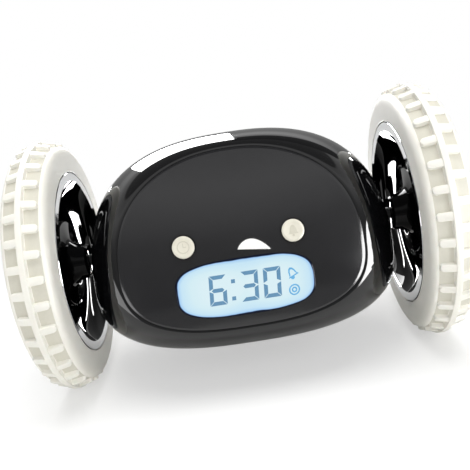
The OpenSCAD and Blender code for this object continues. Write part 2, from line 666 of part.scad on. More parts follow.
// ================================================================ wheels
flat_depth = 0.5;                               // of the flat on the axle's outer end
module d_section(by, x0, x1) intersection() {
    rod_x([0, 0], x0, x1, axle_d / 2 + by);
    translate([x0, -far / 2, -far / 2]) cube([x1 - x0, far, far / 2 + axle_d / 2 - flat_depth + by]);
}
module axle() color(steel) difference() {
    union() {
        rod_x([0, 0], axle_in, hub_x - boss_l - play, axle_d / 2);
        d_section(0, hub_x - boss_l - play - 0.1, axle_out);
    }
    rod_x([0, 0], axle_out - 7, far, screw_d / 2 + press);
}
module hub() color("#08080a") difference() {
    turned([[0, hub_x - boss_l], [boss_r, hub_x - boss_l], [boss_r + 0.5, hub_x - boss_l + 0.7],
        [boss_r + 1.6, hub_mid - 2.8], [boss_r + 3.6, hub_mid - 1.3], [rim_r - 16.8, hub_mid - 1],
        [rim_r - 16.5, hub_mid], [rim_r - 13.7, hub_mid - 0.05 * dish_depth],
        [rim_r - 7.7, hub_mid - 0.35 * dish_depth], [rim_r - rim_land - 0.8, hub_x + 1.1],
        [rim_r - rim_land, hub_x], [rim_r, hub_x], [rim_r, hub_x + flange_w],
        [seat_r, hub_x + flange_w], [seat_r, wheel_out - lip_w], [barrel_r, wheel_out - lip_w],
        [barrel_r, hub_x + 3.4], [rim_r - 7.3, hub_mid - 0.35 * dish_depth + 2.2],
        [rim_r - 13.3, hub_mid + 1.9], [rim_r - 16.4, hub_mid + 2.1],
        [rim_r - 16.9, hub_mid + 1.1], [boss_r + 4.2, hub_mid + 1.1], [boss_r + 2.6, hub_back],
        [0, hub_back]]);
    d_section(press, hub_x - boss_l - 1, hub_back - 0.6);
    rod_x([0, 0], hub_back - 1, far, screw_d / 2 + fit);
}
module hub_screw() color(steel) translate([hub_back, 0, 0]) rotate([0, 90, 0])
    screw(3.2, screw_d / 2, 7);
module hub_cap() color("#0e0e10") turned([[0, wheel_out - 3.2], [barrel_r - 0.8, wheel_out - 3.2],
    [barrel_r - fit, wheel_out - 2.6], [barrel_r - fit, wheel_out - 0.9],
    [barrel_r - 0.9, wheel_out - 0.3], [barrel_r - 2.8, wheel_out - 0.3],
    [barrel_r - 3.8, wheel_out - 1.1], [9.5, wheel_out - 1.9], [8.6, wheel_out - 0.9],
    [7.6, wheel_out - 0.5], [0, wheel_out - 0.2]]);

// Half a tyre's section, from one sidewall to the middle: points [radius, distance in].
tyre_half = [[sidewall_r, 0], [tyre_r - 4.1, 0.45], [shoulder_r - 0.35, 1.3], [shoulder_r, shoulder_w],
    [tread_r, (tyre_w - rib_w) / 2], [tyre_r - 0.2, (tyre_w - rib_w) / 2],
    [tyre_r - 0.1, (tyre_w - rib_w) / 2 + 0.1]];
module tyre_ring() turned(concat(
    [[rim_r + fit, hub_x]], [for (p = tyre_half) [p[0], hub_x + p[1]]],
    [for (i = [len(tyre_half) - 1 : -1 : 0]) [tyre_half[i][0], wheel_out - tyre_half[i][1]]],
    [[rim_r - 0.6, wheel_out], [seat_r - 0.2, wheel_out - 0.6], [seat_r - 0.2, wheel_out - lip_w + 0.1],
    [seat_r + 0.05, wheel_out - lip_w + 0.1], [seat_r + 0.05, hub_x + flange_w + 0.05],
    [rim_r + fit, hub_x + flange_w + 0.05]]));
// A lug runs from the rib down to the shoulder; flip draws it on the outer side.
module lug(flip) rotate([90, 0, 0]) linear_extrude(lug_w, center = true)
    translate([flip ? wheel_out : hub_x, 0]) mirror([flip ? 1 : 0, 0])
    polygon([[lug_in, shoulder_r - 0.6], [lug_in, tyre_r - lug_fall - 0.3],
        [lug_in + 0.4, tyre_r - lug_fall], [tyre_w / 2, tyre_r - 0.1],
        [tyre_w / 2, shoulder_r - 0.6]]);
// The rib's top runs from flat to flat, so that a wheel stands still on one of them.
module rib_top() translate([hub_x + tyre_w / 2, 0, 0]) rotate([0, 90, 0])
    linear_extrude(rib_w - 0.3, center = true) difference() {
        polygon([for (i = [0 : rib_runs - 1])
            polar(tyre_r / cos(180 / rib_runs), (i + 0.5) * 360 / rib_runs)]);
        circle(r = tyre_r - 1);
    }
module tyre() color(cream) union() {
    tyre_ring();
    rib_top();
    for (i = [0 : lug_count - 1], flip = [false, true])
        rotate([lug_phase + (i + (flip ? 0.5 : 0)) * 360 / lug_count, 0, 0]) lug(flip);
}

module left_axle() on_axle() side(true) axle();
module right_axle() on_axle() side(false) axle();
module left_hub() on_axle() side(true) hub();
module right_hub() on_axle() side(false) hub();
module left_tyre() on_axle() side(true) tyre();
module right_tyre() on_axle() side(false) tyre();
module left_hub_cap() on_axle() side(true) hub_cap();
module right_hub_cap() on_axle() side(false) hub_cap();
module hub_screw_left() on_axle() side(true) hub_screw();
module hub_screw_right() on_axle() side(false) hub_screw();

// ================================================================ parts
front_shell();
rear_shell();
face_panel();
face_mark();
display_lens();
lcd_glass();
backlight();
main_board();
tact_switches();
board_screws();
left_button();
right_button();
buzzer();
battery_tray();
battery_cells();
battery_contacts();
battery_door();
door_screws();
case_screws();
left_gearbox();
right_gearbox();
left_gearbox_cover();
right_gearbox_cover();
gearbox_screws();
gear_pins();
axle_bushes();
left_motor();
right_motor();
motor_end_caps();
left_motor_shaft();
right_motor_shaft();
left_motor_pinion();
right_motor_pinion();
left_first_gear();
right_first_gear();
left_second_gear();
right_second_gear();
left_output_gear();
right_output_gear();
left_axle();
right_axle();
left_hub();
right_hub();
left_tyre();
right_tyre();
left_hub_cap();
right_hub_cap();
hub_screw_left();
hub_screw_right();
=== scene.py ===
import math

import bmesh
import bpy
from mathutils import Matrix, Vector


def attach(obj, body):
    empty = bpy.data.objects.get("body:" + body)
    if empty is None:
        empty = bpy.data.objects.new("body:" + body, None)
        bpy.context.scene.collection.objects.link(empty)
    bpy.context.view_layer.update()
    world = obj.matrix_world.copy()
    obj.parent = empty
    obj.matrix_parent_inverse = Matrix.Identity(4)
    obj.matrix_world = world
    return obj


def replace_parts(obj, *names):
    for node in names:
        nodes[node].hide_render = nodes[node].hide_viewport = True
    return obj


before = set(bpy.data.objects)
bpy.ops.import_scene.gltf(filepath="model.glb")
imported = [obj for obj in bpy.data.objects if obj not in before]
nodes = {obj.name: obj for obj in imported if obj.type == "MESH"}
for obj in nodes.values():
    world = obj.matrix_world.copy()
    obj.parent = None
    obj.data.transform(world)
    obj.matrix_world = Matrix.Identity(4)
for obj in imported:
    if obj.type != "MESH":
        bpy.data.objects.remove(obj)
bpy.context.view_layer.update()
scene = bpy.context.scene
scene.view_settings.view_transform = "Standard"

# ------------------------------------------------------------------ camera
# The clock is taken from in front of its leaning face, 0.2 m away and from a little above its
# top, and the picture is turned by 9 degrees.
PICTURE_PIXELS = 470
FOCAL_PIXELS = 629.6
SENSOR = 36
CLIP_START = 0.01
CAMERA_AT = (0.003234, -0.215023, 0.101268)
CAMERA_TURN = (74.9531, 8.9598, -1.1668)


def add_object(name, data):
    """Puts data into the scene as an object at the origin."""
    thing = bpy.data.objects.new(name, data)
    scene.collection.objects.link(thing)
    return thing


camera = add_object("camera", bpy.data.cameras.new("camera"))
camera.data.sensor_width = SENSOR
camera.data.lens = SENSOR * FOCAL_PIXELS / PICTURE_PIXELS
camera.data.clip_start = CLIP_START
camera.location = CAMERA_AT
camera.rotation_euler = [math.radians(angle) for angle in CAMERA_TURN]
scene.camera = camera

# ------------------------------------------------------------------ floor and light
# A sheet of white studio paper on the floor, a wide softbox overhead and one in front, and pale
# walls under a darker ceiling. Cards that only polished surfaces see give them their highlights.
MM = 0.001
PAPER_RADIUS = 4
PAPER_FIBRES = 60.0
PAPER_LIFT = 0.12
PAPER_FADE = (0.07, 0.26)
PAPER_PLAIN = 0.4
AIM_HEIGHT = 0.04


def linear(colour):
    """The linear colour that Blender's sockets take, from an sRGB hex value."""
    channels = [int(colour[i:i + 2], 16) / 255 for i in (1, 3, 5)]
    return [c / 12.92 if c <= 0.04045 else ((c + 0.055) / 1.055) ** 2.4 for c in channels] + [1]


def add_node(tree, kind, settings=None, links=None):
    """Adds a node; settings name its sockets or its own properties, links feed its sockets."""
    node = tree.nodes.new(kind)
    for key, value in (settings or {}).items():
        if isinstance(key, int) or key in node.inputs:
            node.inputs[key].default_value = value
        else:
            setattr(node, key, value)
    for key, source in (links or {}).items():
        tree.links.new(source, node.inputs[key])
    return node


def ramp(node, stops):
    """Sets a colour ramp's stops: [position, linear colour]."""
    for position, _ in stops[2:]:
        node.color_ramp.elements.new(position)
    for stop, (position, colour) in zip(node.color_ramp.elements, stops):
        stop.position, stop.color = position, colour


def empty_material(name):
    material = bpy.data.materials.new(name)
    material.use_nodes = True
    material.node_tree.nodes.clear()
    return material, material.node_tree


# Matt coated paper: an even white with a soft shadow. The camera sees it lifted a little, mixed
# with plain white beside the clock (PAPER_PLAIN), and all plain white past the shadow.
paper, tree = empty_material("paper_coated_matt")
path = add_node(tree, "ShaderNodeLightPath")
where = add_node(tree, "ShaderNodeTexCoord").outputs["Object"]
fibre = add_node(tree, "ShaderNodeTexNoise", {"Scale": PAPER_FIBRES, "Detail": 3.0}, {"Vector": where})
tone = add_node(tree, "ShaderNodeMixRGB", {"Color1": linear("#F4F4F3"), "Color2": linear("#F7F7F6")},
                {"Fac": fibre.outputs["Fac"]})
lift = add_node(tree, "ShaderNodeMath", {"operation": "MULTIPLY", 1: PAPER_LIFT},
                {0: path.outputs["Is Camera Ray"]})
surface = add_node(tree, "ShaderNodeBsdfPrincipled",
                   {"Roughness": 0.9, "Specular IOR Level": 0.1, "Emission Color": linear("#FFFFFF")},
                   {"Base Color": tone.outputs["Color"], "Emission Strength": lift.outputs[0]})
away = add_node(tree, "ShaderNodeVectorMath", {"operation": "LENGTH"}, {0: where})
fade = add_node(tree, "ShaderNodeMapRange",
                {"interpolation_type": "SMOOTHSTEP", "From Min": PAPER_FADE[0], "From Max": PAPER_FADE[1],
                 "To Min": PAPER_PLAIN},
                {"Value": away.outputs["Value"]})
far_off = add_node(tree, "ShaderNodeMath", {"operation": "MULTIPLY"},
                   {0: path.outputs["Is Camera Ray"], 1: fade.outputs["Result"]})
plain = add_node(tree, "ShaderNodeEmission", {"Color": linear("#FFFFFF"), "Strength": 1.0})
run_out = add_node(tree, "ShaderNodeMixShader",
                   links={0: far_off.outputs[0], 1: surface.outputs[0], 2: plain.outputs[0]})
add_node(tree, "ShaderNodeOutputMaterial", links={"Surface": run_out.outputs[0]})

bm = bmesh.new()
bmesh.ops.create_circle(bm, cap_ends=True, radius=PAPER_RADIUS, segments=96)
floor = add_object("floor_paper", bpy.data.meshes.new("floor_paper"))
bm.to_mesh(floor.data)
bm.free()
floor.data.materials.append(paper)

# Softboxes: [name, size, place, power]; each looks at the clock's axle.
SOFTBOXES = [("overhead", 1.2, (0.1, -0.1, 1.3), 15.0), ("front", 1.1, (0.35, -1.3, 0.75), 6.5)]
for name, size, place, power in SOFTBOXES:
    lamp = bpy.data.lights.new("softbox_" + name, "AREA")
    lamp.shape, lamp.size, lamp.energy = "DISK", size, power
    softbox = add_object("softbox_" + name, lamp)
    softbox.location = place
    aim = Vector((0, 0, AIM_HEIGHT)) - Vector(place)
    softbox.rotation_euler = aim.to_track_quat("-Z", "Y").to_euler()
    softbox.visible_glossy = False

# The room: in reflections, walls that are dimmer near the floor and end at a dark ceiling; plain
# white to the camera, and a dimmer white as light for matt surfaces. Walls are [sine of the
# elevation, brightness].
ROOM_LIGHT = 0.36
WALLS = [(0.0, 0.3), (0.2, 0.34), (0.29, 0.44), (0.36, 0.72), (0.47, 1.05), (0.56, 0.85), (0.63, 0.8),
         (0.655, 0.25)]
world = bpy.data.worlds.new("studio")
scene.world = world
world.use_nodes = True
tree = world.node_tree
tree.nodes.clear()
path = add_node(tree, "ShaderNodeLightPath")
height = add_node(tree, "ShaderNodeSeparateXYZ",
                  links={0: add_node(tree, "ShaderNodeTexCoord").outputs["Generated"]})
walls = add_node(tree, "ShaderNodeValToRGB", links={0: height.outputs["Z"]})
ramp(walls, [(level, [value] * 3 + [1]) for level, value in WALLS])
polished = add_node(tree, "ShaderNodeMix", {2: ROOM_LIGHT},
                    {0: path.outputs["Is Glossy Ray"], 3: walls.outputs["Color"]})
seen = add_node(tree, "ShaderNodeMath", {"operation": "MAXIMUM"},
                {0: path.outputs["Is Camera Ray"], 1: path.outputs["Is Transmission Ray"]})
strength = add_node(tree, "ShaderNodeMix", {3: 1.0}, {0: seen.outputs[0], 2: polished.outputs[0]})
backdrop = add_node(tree, "ShaderNodeBackground", {"Color": linear("#FFFFFF")},
                    {"Strength": strength.outputs[0]})
add_node(tree, "ShaderNodeOutputWorld", links={"Surface": backdrop.outputs[0]})

# Cards: [name, strength, corners in millimetres], seen by polished surfaces alone. Behind, a tall
# one on the left gives the white bar along the body's top, and a dark one on the right ends the
# grey band beside it. In front, two on the right give the glint beside the face, one on the left a
# faint one, and a dim one on the far floor keeps the lower face dark. A black one on the floor
# behind keeps the hubs' dishes dark, and two narrow lights on each side give their glints.
CARDS = [
    ("back", 22, ((-132, 300, 119), (1, 300, 141), (19, 300, 470), (-339, 300, 455))),
    ("back_dark", 0.12, ((20, 302, 348), (140, 302, 335), (200, 302, 310), (300, 302, 270), (523, 302, 230),
                         (523, 302, 900), (20, 302, 900))),
    ("front", 22, ((117, -221, 0), (246, -43, 0), (246, -43, 85), (117, -221, 85))),
    ("front_low", 22, ((88, -137, 1), (167, -236, 1), (226, -188, 1), (150, -90, 1))),
    ("left", 4, ((-120, -216, 0), (-246, -43, 0), (-246, -43, 60), (-120, -216, 60))),
    ("front_far", 0.5, ((-700, -175, 0.5), (700, -175, 0.5), (2000, -2500, 0.5), (-2000, -2500, 0.5))),
    ("behind_low", 0, ((-75, 60, 1), (75, 60, 1), (123, 330, 1), (-123, 330, 1))),
]
for side in (-1, 1):
    CARDS += [
        ("hub_upper", 70, ((side * 46, 96, 2), (side * 28, 90, 2), (side * 24, 190, 2), (side * 42, 205, 2))),
        ("hub_lower", 70, ((side * 156, 214, 0), (side * 146, 224, 0), (side * 132, 236, 75),
                           (side * 144, 228, 75))),
    ]
for name, strength, corners in CARDS:
    glow, tree = empty_material("card_" + name)
    light = add_node(tree, "ShaderNodeEmission", {"Color": linear("#FFFFFF"), "Strength": strength})
    add_node(tree, "ShaderNodeOutputMaterial", links={"Surface": light.outputs[0]})
    bm = bmesh.new()
    bm.faces.new([bm.verts.new(Vector(corner) * MM) for corner in corners])
    card = add_object("card_" + name, bpy.data.meshes.new("card_" + name))
    bm.to_mesh(card.data)
    bm.free()
    card.data.materials.append(glow)
    card.visible_camera = card.visible_diffuse = card.visible_shadow = False
    card.visible_transmission = False

# ------------------------------------------------------------------ body shells
# The egg-shaped case: two injection-moulded ABS shells, polished black, that meet in the plane of
# the axle and are screwed together from behind. Drawn level with the axle, then leaned back.
AXLE_HEIGHT = 43.5
LEAN = math.radians(15)
IN_BODY = Matrix.Translation((0, 0, AXLE_HEIGHT * MM)) @ Matrix.Rotation(-LEAN, 4, "X")
# An egg outline is [half width, height over its widest level, depth under it, that level, power
# of its upper curve, power of its lower curve].
FACE_EGG = (37.7, 33.2, 21.3, -6, 2.2, 2.7)
WAIST_EGG = (52.1, 46.1, 26.9, -9.8, 2.6, 2.75)
RIM_Y = -31
RIM_LIP = 0.6
RECESS_Y = -29
BULKHEAD_Y = -27.6
BOARD_Y = -22
BACK_Y = 36
WALL = 2.2
FRONT_POWER = 1.7
BACK_POWER = 2.4
BACK_FLAT = 0.28
SEAM = 0.08
GAP = 0.3
OUTSIDE = {"sides": 192, "front": 40, "back": 48}
INSIDE = {"sides": 96, "front": 14, "back": 14}
FAR = 90
TUBE_RADIUS = 5.15
CASE_SCREWS = [(side * x, z) for side in (-1, 1) for x, z in ((20, 29.5), (34, -28))]
BOARD_SCREWS = [(x, z) for x in (-26, 26) for z in (-22.5, 11)]
BOSS = {"front": -13, "radius": 3, "hole_front": -11, "hole_radius": 1}
POST_RADIUS = 2.2
COLUMN_RADIUS = 3.4
SCREW_SEAT = 10
SCREW_HEAD_HOLE = 2.3
SCREW_HOLE = 1.3
STEM_HOLE = 2.3
LCD_OPENING = ((-21, -23.5), (21, -6.5))
BUZZER_Z = 5
SOUND_PITCH = 3.2
SOUND_HOLE = 0.8
BUTTON_X = 16.7
BUTTON_Z = -0.7
BUTTON_PLACES = [(side * BUTTON_X, BUTTON_Z) for side in (-1, 1)]
DOOR_TURN = math.radians(-62.5)
DOOR_HALF = (29.25, 21.98)
DOOR_INNER = 23.5


def finish(name, dark, light, gloss, grain, bump=0.0, stretch=(1, 1, 1), **sockets):
    """A finish whose tone, gloss and surface vary over grains of a real size in millimetres."""
    material, tree = empty_material(name)
    where = add_node(tree, "ShaderNodeMapping", {"Scale": stretch},
                     {"Vector": add_node(tree, "ShaderNodeTexCoord").outputs["Object"]})
    cloud = add_node(tree, "ShaderNodeTexNoise", {"Scale": 1 / (grain * MM), "Detail": 4.0},
                     {"Vector": where.outputs["Vector"]})
    tone = add_node(tree, "ShaderNodeMixRGB", {"Color1": linear(dark), "Color2": linear(light)},
                    {"Fac": cloud.outputs["Fac"]})
    rough = add_node(tree, "ShaderNodeMapRange", {"From Min": 0.3, "From Max": 0.7, "To Min": gloss[0],
                                                  "To Max": gloss[1]}, {"Value": cloud.outputs["Fac"]})
    relief = add_node(tree, "ShaderNodeBump", {"Distance": bump * MM}, {"Height": cloud.outputs["Fac"]})
    settings = {socket.replace("_", " "): value for socket, value in sockets.items()}
    shader = add_node(tree, "ShaderNodeBsdfPrincipled", settings, {
        "Base Color": tone.outputs["Color"], "Roughness": rough.outputs["Result"],
        "Normal": relief.outputs["Normal"]})
    add_node(tree, "ShaderNodeOutputMaterial", links={"Surface": shader.outputs[0]})
    return material


# Polished black ABS: a deep black whose long, faint ripple of the moulding bends reflections.
gloss_black = finish("abs_black_polished", "#070708", "#0B0B0D", (0.03, 0.055), 12, 0.004, IOR=1.53)


def grow(egg, by):
    return (egg[0] + by, egg[1] + by, egg[2] + by) + egg[3:]


def between(egg, other, share):
    return tuple(a + (b - a) * share for a, b in zip(egg, other))


def egg_radius(egg, turn):
    up = math.sin(turn) >= 0
    power, reach = (egg[4], egg[1]) if up else (egg[5], egg[2])
    flat = abs(math.cos(turn) / egg[0]) ** power + abs(math.sin(turn) / reach) ** power
    return flat ** (-1 / power)


def egg_ring(egg, y, size=1):
    """A ring of the body: where an egg outline at depth y passes at each turn."""
    def at(turn):
        radius = egg_radius(egg, turn)
        return Vector((radius * math.cos(turn) * size, y, (egg[3] + radius * math.sin(turn)) * size))
    return at


def front_ring(share, inset=0, front=RIM_Y, lip=RIM_LIP):
    turn = share * math.pi / 2
    bulge = math.sin(turn) ** (2 / FRONT_POWER)
    egg = between(grow(FACE_EGG, lip), grow(WAIST_EGG, -inset), bulge)
    return egg_ring(egg, front * abs(math.cos(turn)) ** (2 / FRONT_POWER))


def back_ring(share, inset=0, back=BACK_Y):
    last = math.acos(BACK_FLAT ** (BACK_POWER / 2))
    turn = share * last
    depth = back * (math.sin(turn) / math.sin(last)) ** (2 / BACK_POWER)
    return egg_ring(grow(WAIST_EGG, -inset), depth, math.cos(turn) ** (2 / BACK_POWER))


def loft(rings, sides):
    """A closed solid: a capped circle whose edge is drawn out from ring to ring and capped again."""
    bm = bmesh.new()
    turn = bm.verts.layers.float.new("turn")
    bmesh.ops.create_circle(bm, cap_ends=True, radius=1, segments=sides)
    for vert in bm.verts:
        vert[turn] = math.atan2(vert.co.y, vert.co.x)
        vert.co = rings[0](vert[turn])
    edges = bm.edges[:]
    for ring in rings[1:]:
        drawn = bmesh.ops.extrude_edge_only(bm, edges=edges)["geom"]
        edges = [part for part in drawn if isinstance(part, bmesh.types.BMEdge) and part.is_boundary]
        for vert in (part for part in drawn if isinstance(part, bmesh.types.BMVert)):
            vert.co = ring(vert[turn])
    bmesh.ops.contextual_create(bm, geom=edges)
    bm.verts.layers.float.remove(turn)
    bmesh.ops.recalc_face_normals(bm, faces=bm.faces)
    return solid(bm)


def solid(bm):
    """Keeps a bmesh as a work piece, in millimetres."""
    piece = add_object("work", bpy.data.meshes.new("work"))
    bm.to_mesh(piece.data)
    bm.free()
    return piece


def carve(piece, tool, how="DIFFERENCE"):
    """Cuts the tool out of the piece, or joins it on, and takes the tool away."""
    change = piece.modifiers.new("carve", "BOOLEAN")
    change.operation, change.solver, change.object = how, "EXACT", tool
    shaped = bpy.data.meshes.new_from_object(
        piece.evaluated_get(bpy.context.evaluated_depsgraph_get()))
    piece.modifiers.clear()
    piece.data = shaped
    bpy.data.objects.remove(tool)


def rod(bm, start, end, radius, tip=None, sides=40):
    """A cylinder, or a cone, from one point to another."""
    start, end = Vector(start), Vector(end)
    turn = Vector((0, 0, 1)).rotation_difference(end - start).to_matrix().to_4x4()
    bmesh.ops.create_cone(bm, cap_ends=True, segments=sides, radius1=radius,
                          radius2=radius if tip is None else tip, depth=(end - start).length,
                          matrix=Matrix.Translation((start + end) / 2) @ turn)


def block(bm, low, high, turn=Matrix()):
    low, high = Vector(low), Vector(high)
    return bmesh.ops.create_cube(bm, size=1, matrix=turn @ Matrix.Translation((low + high) / 2)
                                 @ Matrix.Diagonal((*(high - low), 1)))["verts"]


def rods_y(places, start, end, radius):
    """Parallel rods in the direction of sight, as a work piece."""
    bm = bmesh.new()
    for x, z in places:
        rod(bm, (x, start, z), (x, end, z), radius)
    return solid(bm)


def door_block(gap):
    bm = bmesh.new()
    block(bm, (-DOOR_HALF[0] - gap, DOOR_INNER, -DOOR_HALF[1] - gap),
          (DOOR_HALF[0] + gap, FAR, DOOR_HALF[1] + gap), Matrix.Rotation(DOOR_TURN, 4, "X"))
    return solid(bm)


def settle(piece, name, place, body, slot, *materials, sharp=32):
    """Brings a work piece to its place in metres, smooths it, finishes it and lets it ride."""
    bm = bmesh.new()
    bm.from_mesh(piece.data)
    bmesh.ops.remove_doubles(bm, verts=bm.verts, dist=0.0005)
    bm.transform(place @ Matrix.Scale(MM, 4))
    bm.to_mesh(piece.data)
    bm.free()
    marks = [face.material_index for face in piece.data.polygons]
    piece.name = piece.data.name = name
    piece.data.shade_smooth()
    piece.data.set_sharp_from_angle(angle=math.radians(sharp))
    piece.data.materials.clear()
    for material in materials:
        piece.data.materials.append(material)
    if max(marks) < len(materials):
        piece.data.polygons.foreach_set("material_index", marks)
    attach(piece, body)
    return piece


def tube_rods():
    bm = bmesh.new()
    rod(bm, (-FAR, 0, 0), (FAR, 0, 0), TUBE_RADIUS, sides=64)
    return solid(bm)


def outer_rings(count, ring, first=0):
    return [ring(k / count) for k in range(first, count)]


def inner_front():
    """The rings of the case's inside, from the bulkhead behind the face to near the seam."""
    return [front_ring(k / INSIDE["front"], WALL, BULKHEAD_Y, RIM_LIP - WALL * 0.75)
            for k in range(INSIDE["front"])]


def inner_back():
    return [back_ring(k / INSIDE["back"], WALL, BACK_Y - WALL) for k in range(INSIDE["back"] + 1)]


front_outside = [egg_ring(grow(FACE_EGG, 0.04), RECESS_Y), egg_ring(grow(FACE_EGG, 0.04), RIM_Y + 0.08),
                 egg_ring(grow(FACE_EGG, 0.12), RIM_Y)] + outer_rings(OUTSIDE["front"], front_ring)
front = loft(front_outside + [egg_ring(WAIST_EGG, -SEAM), egg_ring(grow(WAIST_EGG, -SEAM), 0)],
             OUTSIDE["sides"])
hollow = loft(inner_front() + [egg_ring(grow(WAIST_EGG, -WALL), y) for y in (0, 1)], INSIDE["sides"])
carve(hollow, rods_y(CASE_SCREWS, BOSS["front"], 2, BOSS["radius"]))
carve(hollow, rods_y(BOARD_SCREWS, RIM_Y, BOARD_Y, POST_RADIUS))
carve(front, hollow)
carve(front, tube_rods())
carve(front, door_block(GAP))
carve(front, rods_y(CASE_SCREWS, BOSS["hole_front"], 1, BOSS["hole_radius"]))
carve(front, rods_y(BUTTON_PLACES, RECESS_Y - 1, BULKHEAD_Y + 1, STEM_HOLE))
bm = bmesh.new()
(left, low), (right, high) = LCD_OPENING
block(bm, (left, RECESS_Y - 1, low), (right, BULKHEAD_Y + 1, high))
carve(front, solid(bm))
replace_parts(settle(front, "case_front", IN_BODY, "chassis", "gloss_black", gloss_black), "front_shell")

back_outside = outer_rings(OUTSIDE["back"], back_ring, 1) + [back_ring(1)]
rear = loft([egg_ring(grow(WAIST_EGG, -SEAM), 0), egg_ring(WAIST_EGG, SEAM)] + back_outside,
            OUTSIDE["sides"])
hollow = loft([egg_ring(grow(WAIST_EGG, -WALL), -1)] + inner_back(), INSIDE["sides"])
carve(hollow, rods_y(CASE_SCREWS, -2, FAR, COLUMN_RADIUS))
carve(rear, hollow)
carve(rear, tube_rods())
carve(rear, door_block(GAP))
carve(rear, rods_y(CASE_SCREWS, SCREW_SEAT, FAR, SCREW_HEAD_HOLE))
carve(rear, rods_y(CASE_SCREWS, -1, SCREW_SEAT + 1, SCREW_HOLE))
sound_holes = [(0, BUZZER_Z)] + [
    (ring * SOUND_PITCH * math.cos(k * math.pi / 3 / ring),
     BUZZER_Z + ring * SOUND_PITCH * math.sin(k * math.pi / 3 / ring))
    for ring in (1, 2) for k in range(6 * ring)]
carve(rear, rods_y(sound_holes, BACK_Y - 2 * WALL, FAR, SOUND_HOLE))
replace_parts(settle(rear, "case_rear", IN_BODY, "chassis", "gloss_black", gloss_black), "rear_shell")

# ------------------------------------------------------------------ battery door
# A piece of the same polished shell under the body, held by two small screws that stand on
# bosses inside it.
DOOR_SCREW_X = 27.25
DOOR_SEAT = 34.9
DOOR_BOSS = 31.9
DOOR_BOSS_RADIUS = 1.9
DOOR_SCREW_HOLE = 1.1
DOOR_HEAD_HOLE = 2.05


def door_rods(start, end, radius):
    turn = Matrix.Rotation(DOOR_TURN, 4, "X")
    bm = bmesh.new()
    for side in (-1, 1):
        rod(bm, turn @ Vector((side * DOOR_SCREW_X, start, 0)),
            turn @ Vector((side * DOOR_SCREW_X, end, 0)), radius)
    return solid(bm)


door = loft(outer_rings(OUTSIDE["front"], front_ring) + [egg_ring(WAIST_EGG, 0)] + back_outside,
            OUTSIDE["sides"])
carve(door, loft(inner_front() + inner_back(), INSIDE["sides"]))
carve(door, door_block(0), "INTERSECT")
carve(door, door_rods(DOOR_BOSS, DOOR_SEAT - 0.2, DOOR_BOSS_RADIUS), "UNION")
carve(door, door_rods(0, FAR, DOOR_SCREW_HOLE))
carve(door, door_rods(DOOR_SEAT, FAR, DOOR_HEAD_HOLE))
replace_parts(settle(door, "battery_cover", IN_BODY, "battery_door", "gloss_black", gloss_black),
            "battery_door")

# ------------------------------------------------------------------ face panel
# The crowned charcoal panel set into the front rim: moulded ABS with a satin polish, open for the
# window, the two buttons and the pale mark.
PANEL_Y = -31.2
CROWN = 1.9
WINDOW_EGG = (21.3, 8.7, 8.7, -15, 3.2, 3.2)
WINDOW_SIDES = 128
WINDOW_POCKET = 1.25
POCKET_Y = -30.8
BUTTON_RADIUS = 3.43
BUTTON_ROOM = 0.5
FLANGE_ROOM = 1.3
CROWN_RINGS = 36

# Satin charcoal ABS: fine grain of a sparked mould, so reflections spread into a soft gradient.
satin_grey = finish("abs_charcoal_satin", "#171719", "#1B1B1D", (0.10, 0.13), 6, 0.0008, IOR=1.53)


def crown_y(x, z, lift=0):
    """Depth of the panel's crowned front at a point of the face."""
    turn = math.atan2(z - FACE_EGG[3], x)
    share = math.hypot(x, z - FACE_EGG[3]) / egg_radius(FACE_EGG, turn)
    return PANEL_Y - lift - CROWN * (1 - share ** 2)


def crown_ring(egg, size, lift=0, drop=0):
    """A ring on the crowned front: an outline drawn in about its own level."""
    def at(turn):
        radius = egg_radius(egg, turn) * size
        x, z = radius * math.cos(turn), egg[3] + radius * math.sin(turn)
        return Vector((x, crown_y(x, z, lift) + drop, z))
    return at


panel = loft([crown_ring(FACE_EGG, (k + 1) / (CROWN_RINGS + 1)) for k in range(CROWN_RINGS)] +
             [crown_ring(grow(FACE_EGG, -0.14), 1), crown_ring(grow(FACE_EGG, -0.04), 1, 0, 0.04),
              egg_ring(FACE_EGG, PANEL_Y + 0.15), egg_ring(FACE_EGG, RECESS_Y)], OUTSIDE["sides"])
carve(panel, loft([egg_ring(WINDOW_EGG, y) for y in (-FAR, 0)], WINDOW_SIDES))
carve(panel, loft([egg_ring(grow(WINDOW_EGG, WINDOW_POCKET), y) for y in (POCKET_Y, 0)], WINDOW_SIDES))
carve(panel, rods_y(BUTTON_PLACES, -FAR, 0, BUTTON_RADIUS + BUTTON_ROOM))
carve(panel, rods_y(BUTTON_PLACES, POCKET_Y, 0, BUTTON_RADIUS + FLANGE_ROOM))

# ------------------------------------------------------------------ mark
# The pale half-round between the buttons is a painted highlight: a pure white plate pressed into
# its own pocket, with its straight edge a little off level.
MARK_AT = Vector((4.35, 0, -4.5))
MARK_TURN = math.radians(8)
MARK_SIZE = (10, 3.2)
MARK_Y = -33.18
MARK_DEPTH = 0.8
MARK_ROUND = 0.8
MARK_STEPS = 28
# The plate's pure white is a painted highlight.
white_painted_highlight = finish("white_plate_painted_highlight", "#F6F6F2", "#FBFBF8", (0.18, 0.24), 2, 0.002)


def plate(bm, outline, front, back):
    """A flat outline of [x, z] points as a plate between two depths; gives its vertices."""
    corners = [bm.verts.new((x, front, z)) for x, z in outline]
    drawn = bmesh.ops.extrude_face_region(bm, geom=[bm.faces.new(corners)])["geom"]
    rear_corners = [part for part in drawn if isinstance(part, bmesh.types.BMVert)]
    for vert in rear_corners:
        vert.co.y = back
    bmesh.ops.recalc_face_normals(bm, faces=bm.faces)
    return corners + rear_corners


